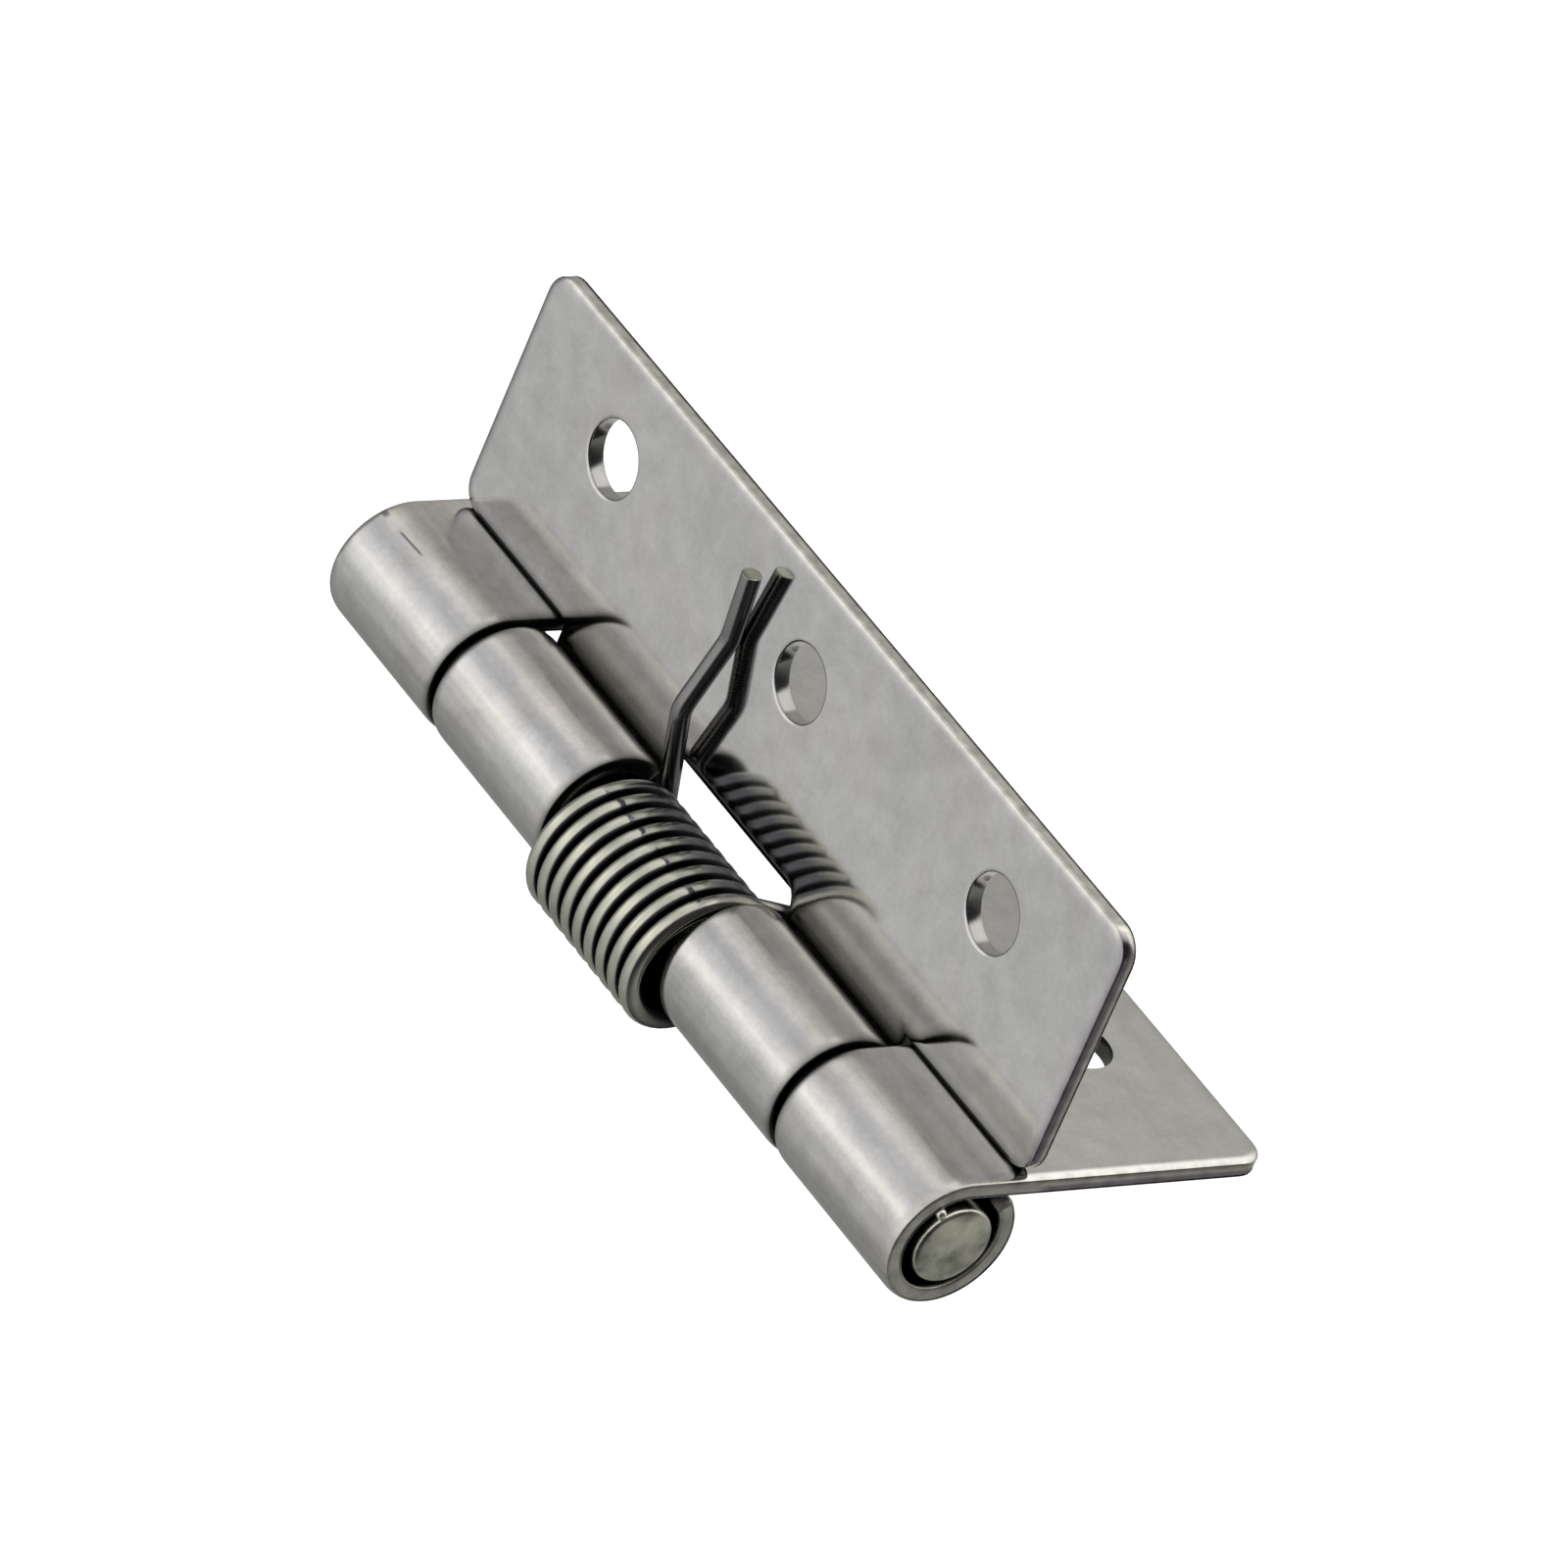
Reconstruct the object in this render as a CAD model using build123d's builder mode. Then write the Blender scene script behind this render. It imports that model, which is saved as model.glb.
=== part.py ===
from build123d import *
import math
import os

# Spring loaded door hinge: two leaves rolled from sheet steel, one plain pin through their
# knuckles, and a torsion spring round the pin that pulls the moving leaf shut.
# The origin is the centre of the fixed leaf's middle screw hole, on the leaf's flat back.
# X runs along the pin, the fixed leaf's back faces +Z, and the moving leaf stands up from it.
# It is drawn shut, with the two backs square to each other.

# Leaves
hinge_length = 76.2
leaf_width = 25.4            # from the pin's axis to the outer edge
sheet = 1.5
corner_radius = 2.2          # outer corners
stop_corner_radius = 2.0     # corners beside the moving leaf's stop edges
window_corner_radius = 1.5   # inner corners of the windows behind the knuckles
window_clearance = 0.7       # from a turning knuckle to the edge of the window behind it
edge_rounding = 0.3          # tumbled edges of the sheet
seam_gap = 0.2               # from the rolled end of a knuckle to the leaf it comes back to

# Knuckles
far_knuckle_length = 13.9    # fixed leaf, one at each end
near_knuckle_length = 14.9
knuckle_gap = 0.6            # between neighbours, along the pin
spring_window = 16.0         # between the moving leaf's two knuckles

# Screw holes, three in a row on each leaf
hole_diameter = 5.6
hole_rounding = 0.2
fixed_hole_pitch = 24.5
fixed_hole_row = 17.3        # rows are measured from the pin's axis
moving_hole_pitch = 25.4
moving_hole_row = 18.0

# Pin
pin_diameter = 6.2
pin_clearance = 0.6          # all round, inside the knuckles
pin_reach = 0.3              # straight part past each end knuckle
pin_crown = 0.2              # height of the domed ends
tack_angle = 127.0           # the tack that holds the pin, seen from the near end
tack_spread = 16.0           # degrees of the ring gap that the tack fills
tack_root = 1.5              # how far the tack goes into the rod
tack_depth = 1.0

# Spring
wire_diameter = 1.5
whole_turns = 8
coil_play = 1.4              # from the pin to the inside of a centred coil
coil_rest_gap = 0.13         # from the pin to the coil on the side where it leans
far_coil_gap = 0.5           # from the moving leaf's end of the coil to its knuckle
near_coil_gap = 0.1          # from the fixed leaf's end of the coil to its knuckle
easing = 30.0                # degrees over which an end turn levels out
leg_bend_height = 10.6       # heights along a leg, from the pin's axis
leg_touch_height = 16.6
leg_tip_height = 22.4
leg_bend_lift = 2.36         # wire's centre from the leaf's face
leg_tip_lift = 1.45
leg_touch_gap = 0.05
leg_lean = 0.35              # of a leg's tip towards the middle of the spring
leg_bend_radius = 2.5

# What follows from them
pin_radius = pin_diameter / 2
bore_radius = pin_radius + pin_clearance
barrel_radius = bore_radius + sheet
half_length = hinge_length / 2
barrel_middle = (far_knuckle_length - near_knuckle_length) / 2
barrel_window = hinge_length - far_knuckle_length - near_knuckle_length
inner_knuckle_length = (barrel_window - spring_window) / 2 - knuckle_gap
inner_knuckle_centre = (spring_window + inner_knuckle_length) / 2
window_edge = barrel_radius + window_clearance

# A leaf's section plane has its origin on the pin's axis, its x along the leaf and its y
# out through the leaf's flat back.
pin_axis = Vector(0, -fixed_hole_row, -barrel_radius)
fixed_section = Plane(origin=pin_axis, x_dir=(0, 1, 0), z_dir=(1, 0, 0))
moving_section = Plane(origin=pin_axis, x_dir=(0, 0, 1), z_dir=(-1, 0, 0))


def back_of(section):
    """The plane of a leaf's flat back, with x along the pin and y along the leaf."""
    origin = section.origin + section.y_dir * barrel_radius
    return Plane(origin=origin, x_dir=section.z_dir, z_dir=section.y_dir)


def curl(section):
    """Section of a knuckle: the sheet rolled from the leaf round to its own face."""
    end_angle = math.degrees(math.asin((bore_radius - seam_gap) / barrel_radius))
    turn = 270 + end_angle
    with BuildSketch(section) as profile:
        with BuildLine():
            outer = CenterArc((0, 0), barrel_radius, 90, turn)
            inner = CenterArc((0, 0), bore_radius, 90, turn)
            Line(outer @ 0, inner @ 0)
            Line(outer @ 1, inner @ 1)
        make_face()
    return profile.sketch


def fixed_outline(section):
    """Flat outline of the fixed leaf, with a window for everything that turns."""
    with BuildSketch(back_of(section)) as outline:
        with Locations((0, leaf_width / 2)):
            Rectangle(hinge_length, leaf_width)
        fillet(outline.vertices().group_by(Axis.Y)[-1], corner_radius)
        with Locations((barrel_middle, 0)):
            RectangleRounded(
                barrel_window, 2 * window_edge, window_corner_radius, mode=Mode.SUBTRACT
            )
    return outline.sketch


def moving_outline(section):
    """Flat outline of the moving leaf: stop edges outside its knuckles, a window between."""
    stop_edge = barrel_radius
    with BuildSketch(back_of(section)) as outline:
        with Locations((0, (leaf_width + stop_edge) / 2)):
            Rectangle(hinge_length, leaf_width - stop_edge)
        fillet(outline.vertices().group_by(Axis.Y)[-1], corner_radius)
        fillet(outline.vertices().group_by(Axis.Y)[0], stop_corner_radius)
        for side in (-1, 1):
            with Locations((side * inner_knuckle_centre - barrel_middle, stop_edge / 2)):
                Rectangle(inner_knuckle_length, stop_edge)
        with Locations((-barrel_middle, 0)):
            RectangleRounded(
                spring_window, 2 * window_edge, window_corner_radius, mode=Mode.SUBTRACT
            )
    return outline.sketch


def sheet_edges(leaf, section):
    """Edges of a leaf's two flat faces, all but the bend lines over the pin."""
    edges = ShapeList()
    for face in leaf.faces().filter_by(Axis(section.origin, section.y_dir)):
        rim = face.outer_wire().edges()
        edges += rim.filter_by(lambda edge: section.to_local_coords(edge.center()).X > edge_rounding)
    return edges


def screw_hole_edges(leaf):
    """Rims of a leaf's screw holes."""
    circles = leaf.edges().filter_by(GeomType.CIRCLE)
    return circles.filter_by(lambda edge: math.isclose(edge.radius, hole_diameter / 2))


# Fixed leaf, with a knuckle at each end
with BuildPart() as fixed_leaf:
    extrude(fixed_outline(fixed_section), amount=-sheet)
    extrude(curl(fixed_section.offset(-half_length)), amount=far_knuckle_length)
    extrude(curl(fixed_section.offset(half_length)), amount=-near_knuckle_length)
    fillet(sheet_edges(fixed_leaf, fixed_section), edge_rounding)
    with Locations(back_of(fixed_section)):
        with Locations((0, fixed_hole_row)):
            with GridLocations(fixed_hole_pitch, fixed_hole_pitch, 3, 1):
                Hole(hole_diameter / 2)
    fillet(screw_hole_edges(fixed_leaf), hole_rounding)

# Moving leaf, with two knuckles and the spring's window between them
with BuildPart() as moving_leaf:
    extrude(moving_outline(moving_section), amount=-sheet)
    for side in (-1, 1):
        start = moving_section.offset(side * inner_knuckle_centre - barrel_middle)
        extrude(curl(start), amount=inner_knuckle_length / 2, both=True)
    fillet(sheet_edges(moving_leaf, moving_section), edge_rounding)
    with Locations(back_of(moving_section)):
        with Locations((0, moving_hole_row)):
            with GridLocations(moving_hole_pitch, moving_hole_pitch, 3, 1):
                Hole(hole_diameter / 2)
    fillet(screw_hole_edges(moving_leaf), hole_rounding)

# Pin with domed ends, and the tack that keeps it from turning in the fixed leaf
with BuildPart() as hinge_pin:
    half_pin = half_length + pin_reach
    with BuildSketch(Plane(origin=pin_axis, x_dir=(1, 0, 0), z_dir=(0, -1, 0))):
        with BuildLine():
            for end in (-1, 1):
                pole = (end * (half_pin + pin_crown), 0)
                TangentArc(pole, (end * half_pin, pin_radius), tangent=(0, 1))
            Line((-half_pin, pin_radius), (half_pin, pin_radius))
            Line((-half_pin - pin_crown, 0), (half_pin + pin_crown, 0))
        make_face()
    revolve(axis=Axis(pin_axis, (1, 0, 0)))
    with BuildSketch(fixed_section.offset(half_length)):
        with BuildLine():
            outer = CenterArc((0, 0), bore_radius, tack_angle - tack_spread / 2, tack_spread)
            root_radius = pin_radius - tack_root
            inner = CenterArc((0, 0), root_radius, tack_angle - tack_spread / 2, tack_spread)
            Line(outer @ 0, inner @ 0)
            Line(outer @ 1, inner @ 1)
        make_face()
    extrude(amount=-tack_depth)

# Torsion spring: a leg on the moving leaf, the coil round the pin, a leg on the fixed leaf.
# A leg's points are (along the leaf, out towards its back), in either leaf's section plane.
coil_radius = pin_radius + coil_play + wire_diameter / 2
lean = (coil_play - coil_rest_gap) / math.sqrt(2)
moving_leg_place = spring_window / 2 - barrel_middle - far_coil_gap - wire_diameter / 2
fixed_leg_place = spring_window / 2 + barrel_middle - near_coil_gap - wire_diameter / 2
leg_bend = Vector(leg_bend_height, bore_radius - leg_bend_lift)
leg_touch = Vector(leg_touch_height, bore_radius - wire_diameter / 2 - leg_touch_gap)
leg_tip = Vector(leg_tip_height, bore_radius - leg_tip_lift)
coil_centre = Vector(-lean, -lean)
to_bend = leg_bend - coil_centre
leave_angle = math.degrees(
    math.atan2(to_bend.Y, to_bend.X) + math.acos(coil_radius / to_bend.length)
)
leg_start = coil_centre + Vector(coil_radius, 0).rotate(Axis.Z, leave_angle)

# Seen from the near end the coil runs clockwise, from the moving leaf's leg to the fixed
# leaf's. Its end turns level out where they run into the legs.
spring_turns = whole_turns + 1 - (2 * leave_angle - 90) / 360
coil_pitch = (moving_leg_place + fixed_leg_place) / (spring_turns - easing / 360)
helix_length = coil_pitch * (spring_turns - 2 * easing / 360)
helix_start = (90 - leave_angle) - easing
coil_middle = (fixed_leg_place - moving_leg_place) / 2
coil_plane = Plane(
    origin=pin_axis + Vector(coil_middle - helix_length / 2, -lean, -lean),
    x_dir=Vector(0, 1, 0).rotate(Axis.X, helix_start),
    z_dir=(1, 0, 0),
)


def leg_points(section, place):
    """A leg from its tip down to the coil, which it leaves at this place along the pin."""
    points = []
    for point in (leg_tip, leg_touch, leg_bend, leg_start):
        leaning = leg_lean * (point.X - leg_start.X) / (leg_tip.X - leg_start.X)
        points.append(section.from_local_coords((point.X, point.Y, place - leaning)))
    return points


with BuildPart() as torsion_spring:
    with BuildLine() as moving_leg:
        FilletPolyline(*leg_points(moving_section, moving_leg_place), radius=leg_bend_radius)
    with BuildLine() as fixed_leg:
        fixed_leg_points = leg_points(fixed_section, fixed_leg_place)
        FilletPolyline(*reversed(fixed_leg_points), radius=leg_bend_radius)
    with BuildLine() as coil:
        helix = Helix(coil_pitch, helix_length, coil_radius, lefthand=True, mode=Mode.PRIVATE)
        add(coil_plane.location * helix)
    with BuildLine() as end_turns:
        Spline(moving_leg.line @ 1, coil.line @ 0, tangents=[moving_leg.line % 1, coil.line % 0])
        Spline(coil.line @ 1, fixed_leg.line @ 0, tangents=[coil.line % 1, fixed_leg.line % 0])
    with BuildSketch(Plane(origin=moving_leg.line @ 0, z_dir=moving_leg.line % 0)):
        Circle(wire_diameter / 2)
    wire_edges = moving_leg.edges() + end_turns.edges() + coil.edges() + fixed_leg.edges()
    sweep(path=Wire(wire_edges))

parts = {
    "fixed_leaf": fixed_leaf,
    "moving_leaf": moving_leaf,
    "hinge_pin": hinge_pin,
    "torsion_spring": torsion_spring,
}
os.makedirs("parts", exist_ok=True)
for name, piece in parts.items():
    piece.part.label = name
    export_step(piece.part, f"parts/{name}.step")
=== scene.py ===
# %% [markdown]
# # A spring loaded door hinge
# A small hinge that shuts its door by itself. Two leaves are stamped from sheet steel and rolled
# into knuckles round one plain pin, and a torsion spring sits between the middle knuckles with a
# leg on each leaf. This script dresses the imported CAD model: it makes every piece again with
# softer edges and a real finish, in the same places and sizes.

import math

import bmesh
import bpy
from mathutils import Matrix, Quaternion, Vector


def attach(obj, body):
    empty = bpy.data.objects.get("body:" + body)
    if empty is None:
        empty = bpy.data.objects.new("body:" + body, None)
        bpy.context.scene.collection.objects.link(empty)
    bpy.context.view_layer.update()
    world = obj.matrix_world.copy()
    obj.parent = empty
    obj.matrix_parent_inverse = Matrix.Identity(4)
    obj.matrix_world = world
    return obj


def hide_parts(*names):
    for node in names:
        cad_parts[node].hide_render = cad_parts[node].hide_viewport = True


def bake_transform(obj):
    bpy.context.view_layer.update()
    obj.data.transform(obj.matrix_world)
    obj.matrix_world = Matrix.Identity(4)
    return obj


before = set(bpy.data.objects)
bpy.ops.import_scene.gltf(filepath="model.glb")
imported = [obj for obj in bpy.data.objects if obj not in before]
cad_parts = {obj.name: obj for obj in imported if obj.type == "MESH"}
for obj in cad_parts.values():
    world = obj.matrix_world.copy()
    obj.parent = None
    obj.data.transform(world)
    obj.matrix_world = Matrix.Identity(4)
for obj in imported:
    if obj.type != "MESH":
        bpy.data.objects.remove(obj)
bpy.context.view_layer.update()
print("nodes", sorted(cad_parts))

# %% [markdown]
# ## Camera
# The photograph was taken from about a metre with a long lens, from above the near end of the
# hinge, and the hinge leans in the picture. A camera can be placed with empties and constraints,
# but a direction, a distance and a roll written as numbers are easier to check, so the camera
# first looks along the direction and then rolls round its own axis.

# %% Camera at the photograph's viewing angle
camera_data = bpy.data.cameras.new("camera")
camera_data.sensor_width = 36
camera_data.lens = 356.99
camera_data.clip_start = 0.01
camera_data.clip_end = 20
camera = bpy.data.objects.new("camera", camera_data)
bpy.context.scene.collection.objects.link(camera)
camera_place = Vector((0.64464, -0.66296, 0.54414))
camera_look = Vector((-0.60578, 0.61264, -0.50765))
camera_roll = math.radians(23.716)
turn = camera_look.to_track_quat("-Z", "Y") @ Quaternion((0, 0, 1), camera_roll)
camera.matrix_world = Matrix.LocRotScale(camera_place, turn, None)
bpy.context.scene.camera = camera
bpy.context.scene.view_settings.view_transform = "Standard"
print("camera", [round(x, 4) for x in camera.matrix_world.translation])

# %% [markdown]
# ## Sums in shader nodes
# Procedural finishes are mostly sums on noise, and sums are hard to read as links. A small class
# wraps a socket so that Python's own operators add the Math nodes, and one method adds any other
# node. It is written once here and every finish below uses it.


# %% A socket that can be used in sums
class Sock:
    """One output in a node tree. Sums on it add Math nodes."""

    def __init__(self, tree, socket=None):
        self.tree = tree
        self.socket = socket

    def node(self, kind, inputs=None, output=0, stops=None, **settings):
        """Any node: its type, its settings, a ramp's stops, then its sockets' values or links."""
        made = self.tree.nodes.new("ShaderNode" + kind)
        for name, value in settings.items():
            setattr(made, name, value)
        if stops:
            ramp = made.color_ramp.elements
            while len(ramp) < len(stops):
                ramp.new(0.5)
            for element, (place, colour) in zip(ramp, stops):
                element.position = place
                element.color = colour
        for name, value in (inputs or {}).items():
            if isinstance(value, Sock):
                self.tree.links.new(value.socket, made.inputs[name])
            else:
                made.inputs[name].default_value = value
        return Sock(self.tree, made.outputs[output])

    def maths(self, operation, *values):
        """A Math node on these values."""
        return self.node("Math", dict(enumerate(values)), operation=operation)

    def __add__(self, other):
        return self.maths("ADD", self, other)

    def __sub__(self, other):
        return self.maths("SUBTRACT", self, other)

    def __rsub__(self, other):
        return self.maths("SUBTRACT", other, self)

    def __mul__(self, other):
        return self.maths("MULTIPLY", self, other)

    def __truediv__(self, other):
        return self.maths("DIVIDE", self, other)

    __radd__ = __add__
    __rmul__ = __mul__

    def vector(self, operation, *values, output=0):
        """Vector Math on places. A number such as a length comes out of output 1."""
        return self.node("VectorMath", dict(enumerate(values)), output, operation=operation)

    def grain(self, scale, stretch=(1, 1, 1), detail=2.0):
        """Noise round 0, from about -1 to 1, with this many grains to a unit of this place."""
        place = self.vector("MULTIPLY", self, stretch)
        noise = self.node("TexNoise", {"Vector": place, "Scale": scale, "Detail": detail})
        return (noise - 0.5) * 4

    def size(self):
        """This value without its sign."""
        return self.maths("ABSOLUTE", self)

    def step(self, low, high):
        """0 below low, 1 above high, and smooth between."""
        return self.node("MapRange", {0: self, 1: low, 2: high}, interpolation_type="SMOOTHSTEP")

    def blend(self, first, second):
        """Colour that goes from first to second as this value goes from 0 to 1."""
        return self.node("Mix", {0: self, 6: first, 7: second}, output=2, data_type="RGBA")


def grey(value):
    return (value, value, value, 1)


# %% [markdown]
# ## Studio
# Bare metal has hardly any colour of its own, so the studio is half of the finish. The room is
# drawn as four rings of soft panels, one after another along the hinge's pin. The barrel and both
# leaves run along the pin, so from the camera they reflect only the ring called behind. The round
# wire and the rounded edges reach the one called overhead as well, and what faces along the pin
# reflects the dark one at the camera's end. In each ring the angle round the pin picks the
# brightness from a ramp. Area lamps could give the same strips, but a ramp is easier to match to
# the bands on the knuckles, and it has no noise. The camera sees plain white instead, so the metal
# looks darker from a side where it reflects the dark ring.

# %% World of soft panels
room_strength = 2.0  # a ramp holds values up to 1, so its levels are divided by this
world = bpy.data.worlds.new("studio")
bpy.context.scene.world = world
world.use_nodes = True
world.node_tree.nodes.clear()
studio = Sock(world.node_tree)
direction = studio.node("TexCoord")
along, across, upward = [direction.node("SeparateXYZ", {0: direction}, i) for i in range(3)]
turn_round = upward.maths("ARCTAN2", upward, across) / (2 * math.pi)
round_pin = turn_round.maths("FRACT", turn_round + 1)


def panels(levels):
    """One ring of panels. Each row is degrees round the pin, where 0 is level behind the fixed
    leaf and 90 is overhead, then a brightness, and its green and blue as shares of its red."""
    stops = []
    for degrees, level, green, blue in levels:
        red = level / room_strength
        stops.append((degrees / 360, (red, red * green, red * blue, 1)))
    return round_pin.node("ValToRGB", {0: round_pin}, stops=stops)


behind = panels([
    (0, 0.50, 0.98, 0.92), (40, 0.72, 0.98, 0.93), (58, 0.62, 0.98, 0.94), (70, 0.64, 0.98, 0.95),
    (82, 0.90, 0.98, 0.95), (94, 1.26, 0.98, 0.95), (106, 1.26, 0.98, 0.97), (118, 0.93, 0.99, 1.0),
    (130, 0.92, 1.0, 1.02), (142, 1.14, 1.0, 1.01), (154, 1.41, 0.99, 1.0), (166, 1.86, 0.98, 0.95),
    (178, 1.50, 0.99, 0.97), (190, 1.16, 1.0, 1.0), (202, 0.89, 1.0, 1.0), (220, 0.78, 1.0, 1.0),
    (232, 0.63, 1.0, 0.98), (244, 0.52, 1.0, 0.97), (262, 0.42, 1.0, 0.97), (290, 0.32, 1.0, 0.97),
    (330, 0.36, 0.98, 0.93), (360, 0.50, 0.98, 0.92),
])
overhead = panels([
    (0, 0.5, 0.98, 0.93), (25, 1.3, 0.99, 0.95), (45, 1.9, 0.99, 0.95), (75, 1.8, 0.99, 0.95),
    (100, 1.2, 1.0, 1.0), (130, 1.0, 1.0, 1.0), (170, 1.6, 0.99, 0.95), (200, 1.0, 1.0, 1.0),
    (225, 0.7, 1.0, 1.0), (260, 0.4, 1.0, 0.97), (330, 0.4, 1.0, 0.97), (360, 0.5, 0.98, 0.93),
])
camera_end = panels([
    (0, 0.20, 1.0, 0.92), (35, 0.06, 0.95, 1.05), (90, 0.05, 0.93, 1.08), (180, 0.05, 0.92, 1.1),
    (230, 0.07, 0.93, 1.1), (270, 0.20, 1.0, 0.95), (300, 0.38, 1.0, 0.93), (335, 0.38, 1.0, 0.93),
    (360, 0.20, 1.0, 0.92),
])
far_end = panels([
    (0, 0.30, 1.0, 1.0), (120, 0.30, 1.0, 1.0), (220, 0.35, 1.0, 1.0), (360, 0.30, 1.0, 1.0),
])

# %% Rings joined along the pin
# Each join is placed by how much of a ray's direction lies along the pin, from -1 to 1.
room = along.step(-0.97, -0.78).blend(far_end, behind)
room = along.step(-0.52, -0.34).blend(room, overhead)
room = along.step(0.33, 0.52).blend(room, camera_end)
lit_room = room.node("Background", {"Color": room, "Strength": room_strength})
plain_white = room.node("Background", {"Color": grey(1), "Strength": 1.0})
to_camera = room.node("LightPath", output="Is Camera Ray")
sky = room.node("MixShader", {0: to_camera, 1: lit_room, 2: plain_white})
output = world.node_tree.nodes.new("ShaderNodeOutputWorld")
world.node_tree.links.new(sky.socket, output.inputs[0])
print("world nodes", len(world.node_tree.nodes))

# %% [markdown]
# ## Floor
# The hinge is shown alone on white, so the floor is a wide pale sheet a little way below it, which
# glows just enough to come out white where nothing shades it. The metal sees the studio's own
# panels below the hinge, and not the floor.

# %% Pale floor
floor_reach = 2.0
floor_drop = 0.07
floor_mesh = bpy.data.meshes.new("floor")
bm = bmesh.new()
bmesh.ops.create_grid(bm, x_segments=1, y_segments=1, size=floor_reach)
bmesh.ops.translate(bm, verts=bm.verts, vec=(0, 0, -floor_drop))
bm.to_mesh(floor_mesh)
bm.free()
floor = bpy.data.objects.new("floor", floor_mesh)
bpy.context.scene.collection.objects.link(floor)
floor.visible_glossy = False
pale = bpy.data.materials.new("pale_floor")
pale.use_nodes = True
pale.node_tree.nodes.clear()
paint = Sock(pale.node_tree)
matt = paint.node("BsdfDiffuse", {"Color": grey(0.5)})
glow = paint.node("Emission", {"Color": grey(1), "Strength": 0.75})
seen = paint.node("AddShader", {0: matt, 1: glow})
plain = paint.node("BsdfDiffuse", {"Color": grey(0.8)})
to_camera = paint.node("LightPath", output="Is Camera Ray")
surface = paint.node("MixShader", {0: to_camera, 1: plain, 2: seen})
output = pale.node_tree.nodes.new("ShaderNodeOutputMaterial")
pale.node_tree.links.new(surface.socket, output.inputs[0])
floor_mesh.materials.append(pale)
print("floor at", -floor_drop)

# %% [markdown]
# ## Sizes
# The pieces repeat the CAD model's sizes, so they drop into its places without fitting. Blender
# works in metres here, and a small factor keeps the numbers in the maker's millimetres.

# %% Sizes of the hinge
mm = 0.001
half_length = 38.1 * mm
leaf_width = 25.4 * mm
sheet = 1.5 * mm
pin_radius = 3.1 * mm
bore_radius = 3.7 * mm
barrel_radius = bore_radius + sheet
seam_gap = 0.2 * mm
hole_radius = 2.8 * mm
fixed_holes = (17.3 * mm, 24.5 * mm)  # height of the row over the pin's axis, and its pitch
moving_holes = (18.0 * mm, 25.4 * mm)
corner_radius = 2.2 * mm
stop_corner = 2.0 * mm
window_corner = 1.5 * mm
barrel_middle = -0.5 * mm  # the knuckles and the spring sit a little nearer the far end
end_knuckle = 23.7 * mm  # distances from that middle
inner_knuckle = (8.0 * mm, 23.1 * mm)
window_edge = 5.9 * mm
roll_turn = math.radians(270) + math.asin((bore_radius - seam_gap) / barrel_radius)
pin_axis = Vector((0, -17.3, -5.2)) * mm
coil_lean = 0.898 * mm  # the coil hangs on the pin, pushed away from both leaves
coil_axis = pin_axis + Vector((0, -coil_lean, -coil_lean))
print("tab before rolling", round(roll_turn * barrel_radius / mm, 2), "mm")

# %% Places of the two leaves
# A leaf is made lying flat, with x along the pin, y along the leaf from the pin's axis and z out
# towards its back. These put it in its place.
fixed_place = Matrix.Translation(pin_axis)
moving_place = fixed_place @ Matrix(((-1, 0, 0, 0), (0, 0, 1, 0), (0, 1, 0, 0), (0, 0, 0, 1)))
print("moving leaf's back faces", tuple(round(c) for c in moving_place.col[2].xyz))


# %% A helper that finishes a piece
def finish_piece(name, bm, body, nodes, material):
    """Turn a finished bmesh into a piece that stands for CAD nodes and rides on their body."""
    mesh = bpy.data.meshes.new(name)
    bm.to_mesh(mesh)
    bm.free()
    mesh.materials.append(material)
    piece = bpy.data.objects.new(name, mesh)
    bpy.context.scene.collection.objects.link(piece)
    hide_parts(*nodes)
    if body:
        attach(piece, body)
    print(name, len(mesh.polygons), "faces")
    return piece


# %% [markdown]
# ## Finishes
# All three metals are bare steel, and what tells them apart is what their making left on them.
# A pattern can be painted on an unwrapped piece, or worked out from the place on the piece. The
# second needs no unwrapping and runs through edges and bends as real grain does, so every finish
# starts from the piece's own coordinates in millimetres.


# %% Helpers for finishes
def metal(name):
    """A metal's material, its shader and the place on the piece in millimetres."""
    material = bpy.data.materials.new(name)
    material.use_nodes = True
    shader = material.node_tree.nodes["Principled BSDF"]
    shader.inputs["Metallic"].default_value = 1
    place = Sock(material.node_tree).node("TexCoord", output="Object")
    return material, shader, place.vector("MULTIPLY", place, (1000, 1000, 1000))


def shade(shader, **sockets):
    """Link finished values to the shader's sockets."""
    for name, value in sockets.items():
        value.tree.links.new(value.socket, shader.inputs[name.replace("_", " ")])


def off_axis(place, centre):
    """Distance from a line along the pin's direction, and degrees round it from 0 to 360."""
    apart = place.vector("SUBTRACT", place, tuple(centre / mm))
    across, upward = [apart.node("SeparateXYZ", {0: apart}, i) for i in (1, 2)]
    radial = apart.vector("MULTIPLY", apart, (0, 1, 1))
    turns = across.maths("ARCTAN2", upward, across) / (2 * math.pi) + 1
    return radial.vector("LENGTH", radial, output=1), turns.maths("FRACT", turns) * 360
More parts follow.
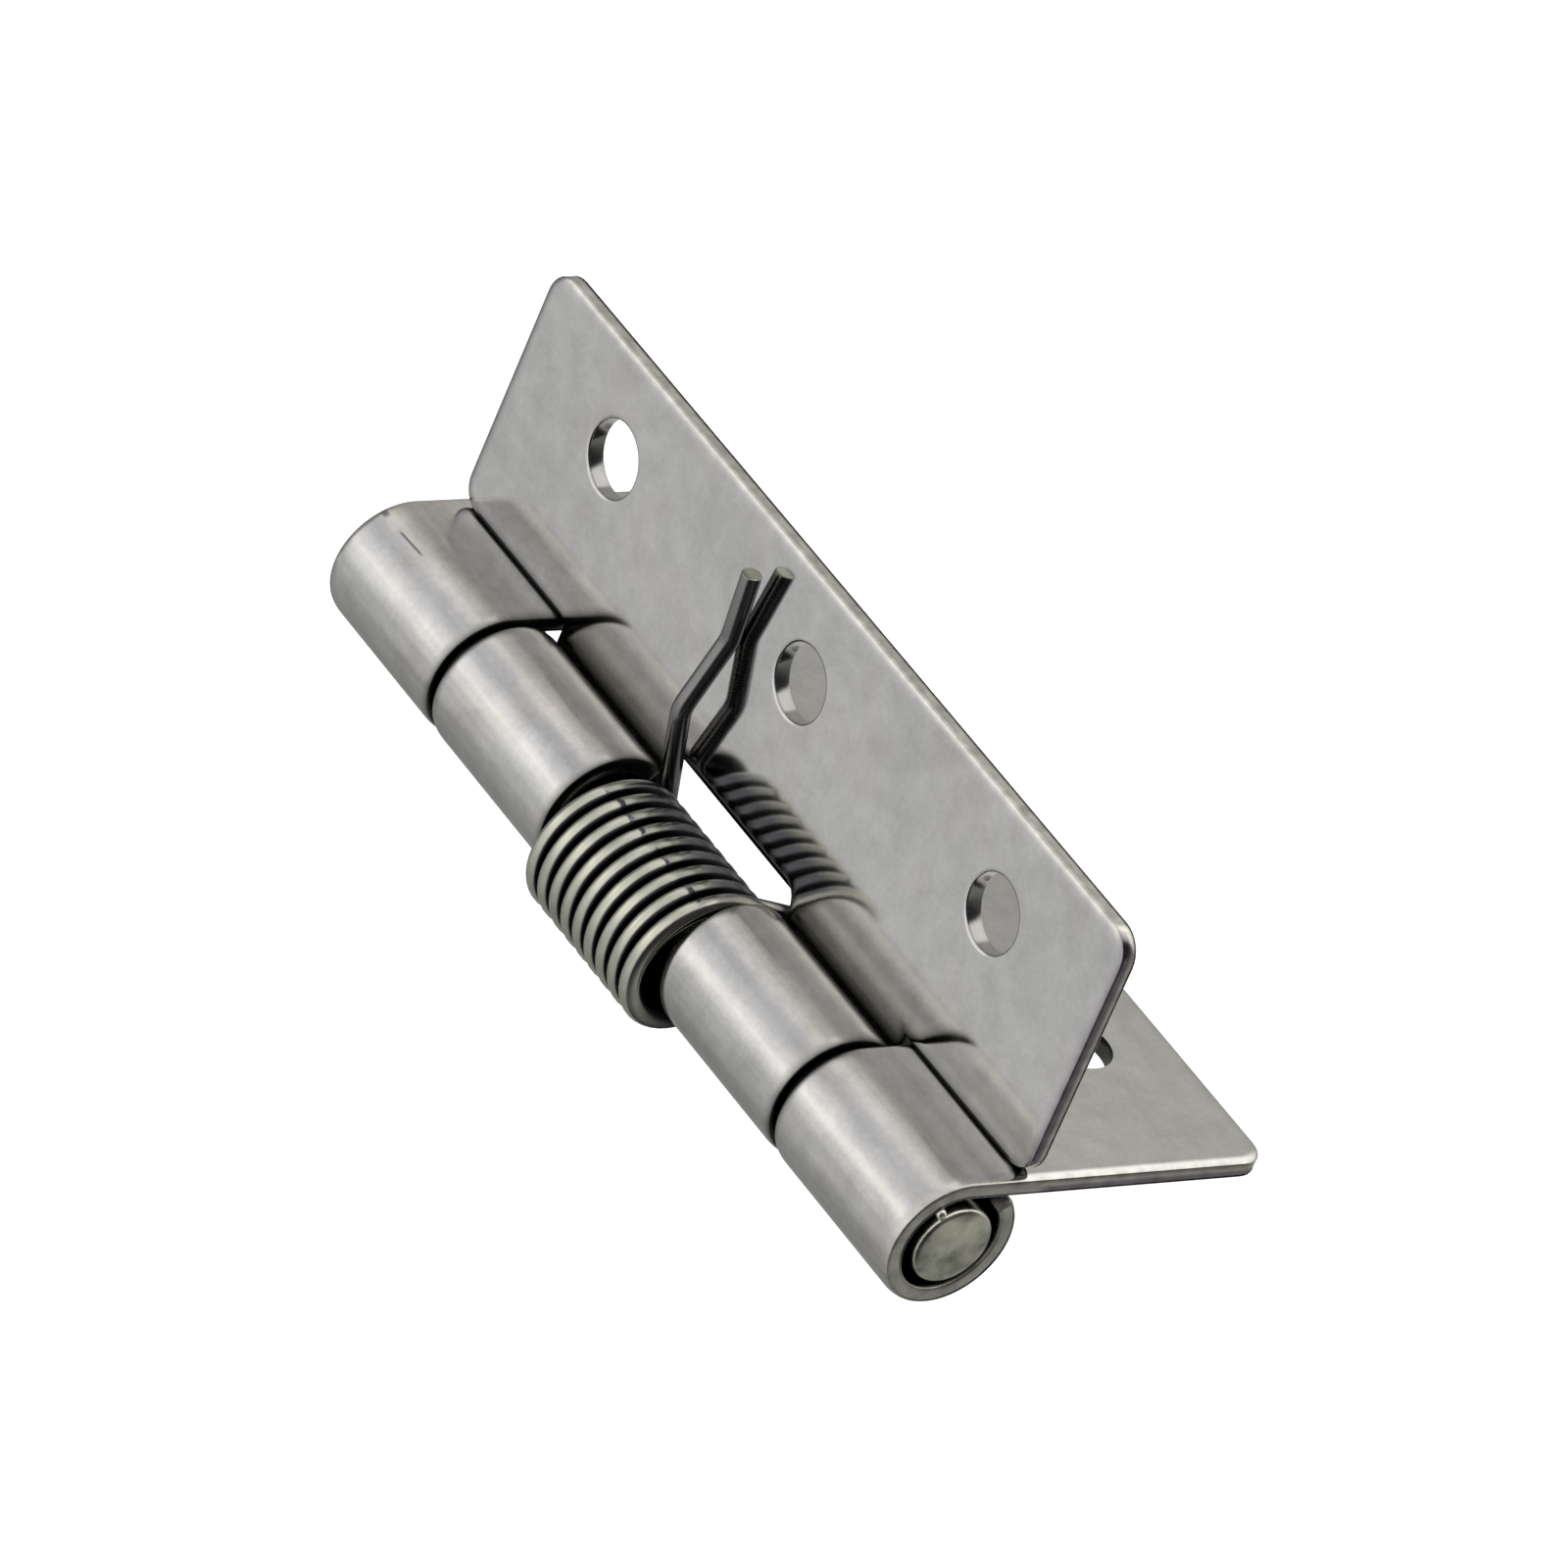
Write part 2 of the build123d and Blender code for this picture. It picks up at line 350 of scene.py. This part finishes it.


# %% [markdown]
# ### Rolled sheet
# The leaves are cold rolled stainless sheet with a tumbled, faintly cloudy face. The rolling die
# has drawn fine lines along the knuckles and darkened them a little. The sheet is stained warm in
# clouds, darker and warmer on the tops of the knuckles. The sheared edges are duller and uneven,
# and a mark on the blank tells where they are. Dirt stays in the seam, and one knuckle has a
# scratch and a nick. Shade is painted at the foot of the knuckles, in their bores, on the fixed
# leaf behind the moving one, on the cut walls near the pin and, with a purple tint, on the knuckle
# side of the leaves' end walls. These could be painted in an image, but each is at a known place,
# so each is a mask worked out from the place on the leaf.

# %% Places on a leaf, in millimetres and degrees
rolled_sheet, shader, place = metal("rolled_sheet")
distance, angle = off_axis(place, pin_axis)
along_pin, across_leaf, over_leaf = [place.node("SeparateXYZ", {0: place}, i) for i in range(3)]
from_centre = along_pin.size()
from_middle = (along_pin - barrel_middle / mm).size()
at_face = (across_leaf - (pin_axis.y + bore_radius) / mm).size()
barrel = 1 - distance.step(5.3, 5.8)
barrel_top = barrel * (1 - angle.step(112, 126))
inner = barrel * (1 - from_middle.step(23.1, 23.4))
# Painted shade inside the bores and on the inner rings of the knuckles' ends.
bore_shade = 1 - distance.step(3.8, 4.1)
cut = place.node("Attribute", output="Fac", attribute_name="cut")
depth = place.node("Attribute", output="Fac", attribute_name="depth")
print("place nodes", len(rolled_sheet.node_tree.nodes))

# %% Grain of the sheet and the lines that the die drew
mottle = place.grain(0.45, detail=4)
cloud = place.grain(0.08)
fine = place.grain(2.2)
specks = place.grain(0.9).step(0.8, 1.3)
streaks = place.grain(1.5, (0.03, 1, 1), detail=3)
smear = place.grain(0.5, (0.12, 1, 1))
burr = place.grain(0.9, detail=3)
tone = 1 + mottle * 0.1 + cloud * 0.07 + fine * 0.05 - specks * 0.1
tone = tone + barrel * (streaks * 0.08 + smear * 0.08 - 0.10)
print("with grain", len(rolled_sheet.node_tree.nodes))

# %% Scratch and nick on the far knuckle
scratch_place, scratch_angle, scratch_slope = -34, 121, 0.55
nick_place, nick_angle = -37.9, 121.5
along_scratch = along_pin - scratch_place
off_scratch = (angle - scratch_angle + along_scratch * scratch_slope).size()
scratch = (1 - off_scratch.step(0.6, 1.4)) * (1 - along_scratch.size().step(1.0, 1.7))
off_nick = (angle - nick_angle).size()
nick = (1 - off_nick.step(1.5, 3.5)) * (1 - (along_pin - nick_place).size().step(0.3, 0.9))
tone = tone * (1 - scratch * 0.65) * (1 - nick * 0.85)
print("with marks", len(rolled_sheet.node_tree.nodes))

# %% Dirt in the seam, and painted shade behind the moving leaf, at the foot of the knuckles and in the bores
# Painted shade on the fixed leaf where it lies behind the moving leaf.
shade_behind_leaf = across_leaf.step(-12, -8) * (1 - along_pin.step(12, 26))
line = (1 - at_face.step(0.06, 0.26)) * (1 - over_leaf.size().step(0.06, 0.22))
line = line * from_middle.step(23.3, 23.8) * (1 - from_centre.step(35.6, 36.8))
# Painted shade in the crease at the foot of the knuckles, beside the moving leaf.
crease_shade = (1 - at_face.step(0.1, 0.3)) * (1 - over_leaf.step(-1.3, 0.3))
crease_shade = crease_shade.maths("MAXIMUM", crease_shade, inner * (1 - angle.step(60, 76)))
tone = tone * (1 - shade_behind_leaf * 0.18)
# A dark line in the seam, and painted shade at the foot of the knuckles and in their bores.
tone = tone * (1 - line * 0.9) * (1 - crease_shade * 0.48) * (1 - bore_shade * 0.85)
print("with dirt", len(rolled_sheet.node_tree.nodes))

# %% Rolled sheet
# Warm cloudy staining over the sheet, darker and warmer on the tops of the knuckles.
stain_and_top_darkening = (place.grain(0.16, detail=3) + 0.15 + barrel_top * 0.9).step(0.0, 1.4)
clean = (tone * 0.5).blend(grey(0), (1.0, 0.99, 0.975, 1))
face = (stain_and_top_darkening * 0.6).blend(clean, clean.vector("MULTIPLY", clean, (0.92, 0.89, 0.82)))
# Painted shade on the cut walls within about 21 mm of the pin, away from the leaves' ends.
cut_wall_shade = (1 - distance.step(20.5, 22)) * (1 - from_centre.step(36.8, 37.6))
dull_and_shaded = (1 + burr * 0.3) * (1 - cut_wall_shade * 0.9)
# Painted shade with a purple tint on the knuckle side of the leaves' end walls; other cut walls
# keep a cream steel tint.
end_wall_shade = (1 - depth.step(-0.2, 0.25)) * distance.step(6.5, 8.0) * from_centre.step(36.2, 37.4)
edge = (dull_and_shaded * 0.46).blend(grey(0), end_wall_shade.blend((1.0, 0.985, 0.91, 1), (0.46, 0.4, 0.47, 1)))
height = mottle * 0.0006 + barrel * streaks * 0.0015 + cut * burr * 0.006
shade(
    shader,
    Base_Color=cut.blend(face, edge),
    Roughness=0.09 + mottle * 0.015 + barrel * 0.03 + barrel_top * 0.1 + cut * 0.16,
    Normal=height.node("Bump", {"Height": height, "Distance": 0.001, "Strength": 1.0}),
)
print("rolled_sheet nodes", len(rolled_sheet.node_tree.nodes))

# %% [markdown]
# ### Pin steel
# The pin is cut from drawn rod, and its sawn and barrelled ends have dull patches with a faint
# olive cast from the pickling bath. Broad noise makes the patches, and fine noise the texture.

# %% Pin steel
pin_steel, shader, place = metal("pin_steel")
patches = place.grain(0.45, detail=3)
texture = place.grain(1.6, detail=3)
tone = 1 + patches * 0.7 + texture * 0.12
height = patches * 0.02 + texture * 0.003
shade(
    shader,
    Base_Color=(tone * 0.5).blend(grey(0), (0.97, 0.97, 0.84, 1)),
    Roughness=0.26 + patches * 0.06,
    Normal=height.node("Bump", {"Height": height, "Distance": 0.001, "Strength": 1.0}),
)
print("pin_steel nodes", len(pin_steel.node_tree.nodes))

# %% [markdown]
# ### Spring wire
# Spring wire is drawn through a die with a dark soap that stays on the legs. The grooves between
# the turns are nearly black with a purple tint, painted shade that is a little less dark on the
# back. The crowns keep the steel's colour, painted lighter and wider on the side towards the
# camera and below, and darker on the back. The last turn and the cut tips are bright all over.
# The distance from the coil's own axis tells crown from groove.

# %% Spring wire
spring_wire, shader, place = metal("spring_wire")
distance, angle = off_axis(place, coil_axis)
along_pin = place.node("SeparateXYZ", {0: place})
leg = distance.step(6.1, 6.6)
drawn = along_pin.node("CombineXYZ", {0: along_pin * 3, 1: distance * 3, 2: angle * 0.06})
lines = drawn.grain(1.0, detail=3) * (1 - leg)
patches = place.grain(0.7, detail=3)
# Painted light: the side towards the camera and below gets wider, lighter crowns.
lit_side = (angle + patches * 2).step(110, 117) * (1 - angle.step(300, 330))
crown = (distance + lit_side * 0.06).step(5.76, 5.9)
end_turn = along_pin.step(6.5, 7.0)
tip = distance.step(23.1, 23.25)
nicks = (1 - (angle - 113 + patches * 4).size().step(1.2, 2.4)) * patches.step(-0.3, 0.2) * 0.8
# Painted light: the back of the coil gets darker crowns and less black grooves.
back = 1 - angle.step(80, 100)
lit_crown_share = 0.55 + lit_side * 0.45 - back * 0.3
bright = crown.maths("MAXIMUM", crown * lit_crown_share * (1 - nicks), end_turn)
crown_light_and_wear = leg.maths("MULTIPLY_ADD", leg, 0.38 + tip * 0.5 - bright, bright)
# Painted shade: the grooves between the turns are nearly black, with a purple tint.
tone = (0.015 + back * 0.06 + crown_light_and_wear * 0.9) * (1 + lines * 0.14 + patches * 0.06)
coat_and_groove_shade = (0.86, 0.84, 1.0, 1)
steel = (1.0, 1.0, 0.86, 1)
tint = crown_light_and_wear.step(0.1, 0.6).blend(coat_and_groove_shade, steel)
colour = (tone * 0.48).blend(grey(0), tint)
shade(shader, Base_Color=colour, Roughness=0.5 - crown_light_and_wear.step(0.05, 0.35) * 0.28 + lines * 0.03)
print("spring_wire nodes", len(spring_wire.node_tree.nodes))

# %% [markdown]
# ## Leaves
# Each leaf starts as a flat blank, as in the press: an outline with rounded corners, punched
# holes, and long tabs that stick out beyond the pin. Punching pulls the sheet down beside each
# cut, and tumbling rounds it further, so every edge has a shallow roll a millimetre wide. The
# blank could be beveled, but a bevel is as deep as it is wide, so the roll is made by insets that
# each rise a little less. Then the tabs are cut into narrow strips and bent round the pin, as the
# rolling die does.


# %% Helpers for the blank
edge_roll = (1.0 * mm, 0.3 * mm)  # width and depth of the roll along an edge
roll_steps = 7
face_margin = 0.15 * mm
hole_sides = 48
hole_reach = 0.5 * mm  # how far round a hole its own cut mark goes
wall_fade = 0.2 * mm  # depth in which the cut mark grows to 1
# A hole's rim, in steps out from its wall and down from the face: well rolled, and nearly sharp.
rolled_rim = [
    (0.35 * mm, 0.0), (0.25 * mm, 0.0), (0.16 * mm, -0.02 * mm), (0.07 * mm, -0.07 * mm),
    (0.02 * mm, -0.14 * mm), (0.0, -0.22 * mm),
]
sharp_rim = [(0.08 * mm, 0.0), (0.05 * mm, 0.0), (0.02 * mm, -0.02 * mm), (0.0, -0.06 * mm)]


def verts_of(geom):
    return [g for g in geom if isinstance(g, bmesh.types.BMVert)]


def edges_of(geom):
    return [g for g in geom if isinstance(g, bmesh.types.BMEdge)]


def roll_profile(width, depth):
    """Steps in and up from the wall of the sheet to its face, along a quarter of an ellipse."""
    points = []
    for i in range(roll_steps + 1):
        angle = math.pi / 2 * i / roll_steps
        points.append((width * (1 - math.cos(angle)), -depth * (1 - math.sin(angle))))
    return points


def flat_blank(corners, rounded):
    """One face with this outline, its listed corners rounded to their radii."""
    bm = bmesh.new()
    verts = [bm.verts.new((x, y, 0)) for x, y in corners]
    bm.faces.new(verts)
    square = dict(zip(corners, verts))
    for radius in sorted(set(rounded.values())):
        picked = [square[corner] for corner in rounded if rounded[corner] == radius]
        bmesh.ops.bevel(
            bm, geom=picked, offset=radius, segments=8, profile=0.5, affect="VERTICES", material=-1
        )
    return bm


# %% A leaf's blank
def leaf(corners, rounded, hole_row, hole_pitch, hole_profile, hole_cut):
    """A leaf's blank with rolled edges and holes, still flat. Half its thickness is made first,
    and the other half is its mirror image. The cut mark is 1 on sheared walls and hole_cut in
    holes, and the depth mark goes from -1 on the knuckle side to 1 on the back."""
    bm = flat_blank(corners, rounded)
    face = bm.faces[:][0]
    face.normal_update()
    if face.normal.z < 0:
        bmesh.ops.reverse_faces(bm, faces=[face])
    wall = bm.edges[:]
    profile = roll_profile(*edge_roll)
    bmesh.ops.translate(bm, verts=bm.verts, vec=(0, 0, sheet / 2 + profile[0][1]))
    bm.normal_update()
    for (x0, z0), (x1, z1) in zip(profile, profile[1:]):
        bmesh.ops.inset_individual(
            bm, faces=[face], use_even_offset=True, thickness=x1 - x0, depth=z1 - z0
        )
    bmesh.ops.inset_individual(bm, faces=[face], use_even_offset=True, thickness=face_margin)
    rim = list(face.edges)
    bmesh.ops.delete(bm, geom=[face], context="FACES_ONLY")

    circles = []
    hole_places = [i * hole_pitch for i in (-1, 0, 1)]
    for x in hole_places:
        made = bmesh.ops.create_circle(
            bm,
            segments=hole_sides,
            radius=hole_radius + hole_profile[0][0],
            matrix=Matrix.Translation((x, hole_row, sheet / 2)),
        )
        circles += list({edge for v in made["verts"] for edge in v.link_edges})
    bmesh.ops.triangle_fill(bm, edges=rim + circles, use_beauty=True)

    for (r0, z0), (r1, z1) in zip(hole_profile, hole_profile[1:]):
        grown = bmesh.ops.extrude_edge_only(bm, edges=circles)["geom"]
        verts = verts_of(grown)
        scale = (hole_radius + r1) / (hole_radius + r0)
        for x in hole_places:
            ring = [v for v in verts if abs(v.co.x - x) < hole_pitch / 2]
            centre = Matrix.Translation((-x, -hole_row, 0))
            bmesh.ops.scale(bm, verts=ring, vec=(scale, scale, 1), space=centre)
        bmesh.ops.translate(bm, verts=verts, vec=(0, 0, z1 - z0))
        circles = edges_of(grown)
    for edges in (circles, wall):
        grown = bmesh.ops.extrude_edge_only(bm, edges=edges)["geom"]
        for vert in verts_of(grown):
            vert.co.z = 0
    bmesh.ops.mirror(
        bm, geom=bm.verts[:] + bm.edges[:] + bm.faces[:], merge_dist=0.001 * mm, axis="Z"
    )
    bmesh.ops.recalc_face_normals(bm, faces=bm.faces)
    cut = bm.verts.layers.float.new("cut")
    depth = bm.verts.layers.float.new("depth")
    for vert in bm.verts:
        vert[depth] = vert.co.z / (sheet / 2)
        down = sheet / 2 - abs(vert.co.z)
        off_hole = min(math.dist(vert.co.xy, (x, hole_row)) for x in hole_places)
        if off_hole < hole_radius + hole_reach:
            vert[cut] = hole_cut * min(1, down / -hole_profile[-1][1])
        else:
            vert[cut] = min(1, down / wall_fade)
    bmesh.ops.translate(bm, verts=bm.verts, vec=(0, 0, barrel_radius - sheet / 2))
    open_edges = sum(not edge.is_manifold for edge in bm.edges)
    print("blank", len(bm.faces), "faces,", open_edges, "open edges")
    return bm


# %% Rolling the tabs
strips = 72


def roll_tabs(bm):
    """Cut everything beyond the pin's axis into strips and bend it round the pin."""
    for i in range(strips):
        bmesh.ops.bisect_plane(
            bm,
            geom=bm.verts[:] + bm.edges[:] + bm.faces[:],
            dist=0.0001 * mm,
            plane_co=(0, -i * roll_turn * barrel_radius / strips, 0),
            plane_no=(0, 1, 0),
        )
    for vert in bm.verts:
        if vert.co.y < 0:
            angle = math.pi / 2 - vert.co.y / barrel_radius
            radius = vert.co.z
            vert.co.y = radius * math.cos(angle)
            vert.co.z = radius * math.sin(angle)
    for face in bm.faces:
        face.smooth = True


# %% Fixed leaf, with a knuckle at each end
tab_end = -roll_turn * barrel_radius
left, right = barrel_middle - end_knuckle, barrel_middle + end_knuckle
fixed_corners = [
    (-half_length, leaf_width), (half_length, leaf_width), (half_length, tab_end),
    (right, tab_end), (right, window_edge), (left, window_edge), (left, tab_end),
    (-half_length, tab_end),
]
fixed_rounds = {
    (-half_length, leaf_width): corner_radius, (half_length, leaf_width): corner_radius,
    (right, window_edge): window_corner, (left, window_edge): window_corner,
}
bm = leaf(fixed_corners, fixed_rounds, *fixed_holes, sharp_rim, 1.0)
roll_tabs(bm)
bmesh.ops.transform(bm, matrix=fixed_place, verts=bm.verts)
finish_piece("fixed_leaf_sheet", bm, "fixed_side", ["fixed_leaf"], rolled_sheet)

# %% Moving leaf, with two knuckles and the spring's window between them
# This leaf's place turns x round, so the barrel's middle lies on its other side.
c, d = [-barrel_middle + reach for reach in inner_knuckle]
b, a = [-barrel_middle - reach for reach in inner_knuckle]
moving_corners = [
    (-half_length, leaf_width), (half_length, leaf_width), (half_length, barrel_radius),
    (d, barrel_radius), (d, tab_end), (c, tab_end), (c, window_edge),
    (b, window_edge), (b, tab_end), (a, tab_end), (a, barrel_radius),
    (-half_length, barrel_radius),
]
moving_rounds = {
    (-half_length, leaf_width): corner_radius, (half_length, leaf_width): corner_radius,
    (half_length, barrel_radius): stop_corner, (-half_length, barrel_radius): stop_corner,
    (c, window_edge): window_corner, (b, window_edge): window_corner,
}
bm = leaf(moving_corners, moving_rounds, *moving_holes, rolled_rim, 0.45)
roll_tabs(bm)
bmesh.ops.transform(bm, matrix=moving_place, verts=bm.verts)
finish_piece("moving_leaf_sheet", bm, "moving_side", ["moving_leaf"], rolled_sheet)

# %% [markdown]
# ## Pin
# The pin is a cut length of plain rod with its ends lightly domed, held by one small tack of weld
# in the ring gap at the near end. A turned shape is a profile spun round an axis, so the rod is
# half an outline given a full spin, which closes on itself.

# %% Pin
bm = bmesh.new()
pin_end = half_length + 0.3 * mm
# The domed end, in millimetres: steps inwards from the end, and radii.
dome = [
    (-0.2, 0.0), (-0.18, 1.2), (-0.12, 2.2), (-0.04, 2.75), (0.06, 2.97), (0.22, 3.08), (0.4, 3.1),
]
half = [(-pin_end + inwards * mm, radius * mm) for inwards, radius in dome]
outline = half + [(-x, radius) for x, radius in reversed(half)]
verts = [bm.verts.new((x, 0, radius)) for x, radius in outline]
for a, b in zip(verts, verts[1:]):
    bm.edges.new((a, b))
bmesh.ops.spin(
    bm, geom=bm.verts[:] + bm.edges[:], cent=(0, 0, 0), axis=(1, 0, 0), angle=2 * math.pi,
    steps=64, use_merge=True,
)
bmesh.ops.remove_doubles(bm, verts=bm.verts, dist=0.001 * mm)
bmesh.ops.recalc_face_normals(bm, faces=bm.faces)
print("pin", len(bm.faces), "faces")

# %% Tack
tack_angle = math.radians(127)
tack_radius = 0.5 * mm
tack_depth = 0.35 * mm
ring_middle = (pin_radius + bore_radius) / 2
tack_place = (
    half_length - tack_depth,
    ring_middle * math.cos(tack_angle),
    ring_middle * math.sin(tack_angle),
)
bead = bmesh.ops.create_uvsphere(bm, u_segments=20, v_segments=12, radius=tack_radius)
bmesh.ops.scale(bm, verts=bead["verts"], vec=(1.3, 0.9, 0.9))
bmesh.ops.translate(bm, verts=bead["verts"], vec=tack_place)
for face in bm.faces:
    face.smooth = True
bmesh.ops.transform(bm, matrix=fixed_place, verts=bm.verts)
finish_piece("hinge_pin_rod", bm, "fixed_side", ["hinge_pin"], pin_steel)

# %% [markdown]
# ## Torsion spring
# The spring is one length of hard drawn wire. It comes down the moving leaf in a leg with two
# bends, winds nearly nine turns round the pin and goes up the fixed leaf in a second leg. A curve
# with a bevel would give a tube, but a bmesh spin does what the winding machine does: it carries
# the wire's round section along, straight where it is extruded, round a bend's centre where it is
# bent, and round the pin with a small advance at each step where it is coiled.

# %% Spring sizes
wire_radius = 0.75 * mm
wire_sides = 24
coil_radius = 5.25 * mm
moving_leg_place = 7.25 * mm
fixed_leg_place = 6.65 * mm
leg_lean = 0.35 * mm
bend_radius = 2.5 * mm
bend_steps = 8
end_bevel = 0.09 * mm
# Points of a leg in its leaf's place: height from the pin's axis, and distance from that axis.
coil_centre = Vector((-coil_lean, -coil_lean))
leg_bend = Vector((10.5, 1.34)) * mm
leg_touch = Vector((16.45, 2.90)) * mm
leg_tip = Vector((22.15, 2.25)) * mm
to_bend = leg_bend - coil_centre
leave = math.atan2(to_bend.y, to_bend.x) + math.acos(coil_radius / to_bend.length)
leg_start = coil_centre + Vector((math.cos(leave), math.sin(leave))) * coil_radius
turns = 9 - (2 * math.degrees(leave) - 90) / 360
print("turns", round(turns, 3), "leaves at", round(math.degrees(leave), 1), "degrees")


# %% Wire that is drawn, bent and coiled
def ring_of(geom):
    """The vertices and edges of the wire's newest section."""
    return [g for g in geom if not isinstance(g, bmesh.types.BMFace)]


def draw(bm, ring, run):
    """Carry the section straight on."""
    grown = bmesh.ops.extrude_edge_only(bm, edges=edges_of(ring))
    ring = ring_of(grown["geom"])
    bmesh.ops.translate(bm, verts=verts_of(ring), vec=run)
    return ring


def bend(bm, ring, centre, axis, angle, steps):
    """Carry the section round a centre."""
    spun = bmesh.ops.spin(bm, geom=ring, cent=centre, axis=axis, angle=angle, steps=steps)
    return ring_of(spun["geom_last"])


def follow(bm, ring, points, radius):
    """Carry the section along straight runs with rounded bends, from first point to last."""
    here = points[0]
    for before, corner, after in zip(points, points[1:], points[2:]):
        coming, going = (corner - before).normalized(), (after - corner).normalized()
        angle = coming.angle(going)
        cut = radius * math.tan(angle / 2)
        ring = draw(bm, ring, corner - coming * cut - here)
        axis = coming.cross(going).normalized()
        centre = corner - coming * cut + axis.cross(coming) * radius
        ring = bend(bm, ring, centre, axis, angle, bend_steps)
        here = corner + going * cut
    return draw(bm, ring, points[-1] - here)


def leg_line(place, x):
    """A leg's corner points from tip to coil, in the leaf's place. It leans to the middle."""
    rise = leg_tip.x - leg_start.x
    corners = (leg_tip, leg_touch, leg_bend, leg_start)
    return [place @ Vector((x - leg_lean * (p.x - leg_start.x) / rise, p.x, p.y)) for p in corners]


# The moving leaf's place turns x round, so its leg is at the same number as the fixed leaf's.
moving_leg = leg_line(moving_place, moving_leg_place)
fixed_leg = leg_line(fixed_place, fixed_leg_place)
print("legs start at", [tuple(round(c / mm, 2) for c in leg[3]) for leg in (moving_leg, fixed_leg)])

# %% First leg, drawn from its tip
bm = bmesh.new()
first = (moving_leg[1] - moving_leg[0]).normalized()
at_tip = Matrix.Translation(moving_leg[0]) @ first.to_track_quat("Z", "X").to_matrix().to_4x4()
made = bmesh.ops.create_circle(bm, segments=wire_sides, radius=wire_radius, matrix=at_tip)
ring = made["verts"] + list({e for v in made["verts"] for e in v.link_edges})
ring = follow(bm, ring, moving_leg, bend_radius)
print("first leg", len(bm.faces), "faces")

# %% Coil
# The advance along the pin grows over the first degrees of the coil and fades over the last, so
# that the wire leaves each leg without a kink.
steps_per_turn = 48
ease_degrees = 30
steps = round(turns * steps_per_turn)
step_angle = 2 * math.pi * turns / steps
ease = ease_degrees / 360 * steps_per_turn
advances = [min(1, (i + 0.5) / ease, (steps - i - 0.5) / ease) for i in range(steps)]
advance = (moving_leg_place + fixed_leg_place) / sum(advances)
for share in advances:
    spun = bmesh.ops.spin(
        bm, geom=ring, cent=coil_axis, axis=(-1, 0, 0), dvec=(share * advance, 0, 0),
        angle=step_angle, steps=1,
    )
    ring = ring_of(spun["geom_last"])
coil_end = sum((vert.co for vert in verts_of(ring)), Vector()) / wire_sides
print("coil ends at", [round(c / mm, 2) for c in coil_end])
print("leg starts at", [round(c / mm, 2) for c in fixed_leg[3]])

# %% Second leg and the cut ends
ring = follow(bm, ring, fixed_leg[::-1], bend_radius)
bmesh.ops.holes_fill(bm, edges=bm.edges, sides=wire_sides)
bmesh.ops.remove_doubles(bm, verts=bm.verts, dist=0.0005 * mm)
bmesh.ops.recalc_face_normals(bm, faces=bm.faces)
cut_ends = [f for f in bm.faces if len(f.verts) == wire_sides]
rims = list({e for f in cut_ends for e in f.edges})
bmesh.ops.bevel(
    bm, geom=rims, offset=end_bevel, segments=2, profile=0.5, affect="EDGES", material=-1,
    clamp_overlap=True,
)
for face in bm.faces:
    face.smooth = len(face.verts) < wire_sides
spring = finish_piece(
    "torsion_spring_wire", bm, None, ["torsion_spring"], spring_wire
)
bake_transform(spring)
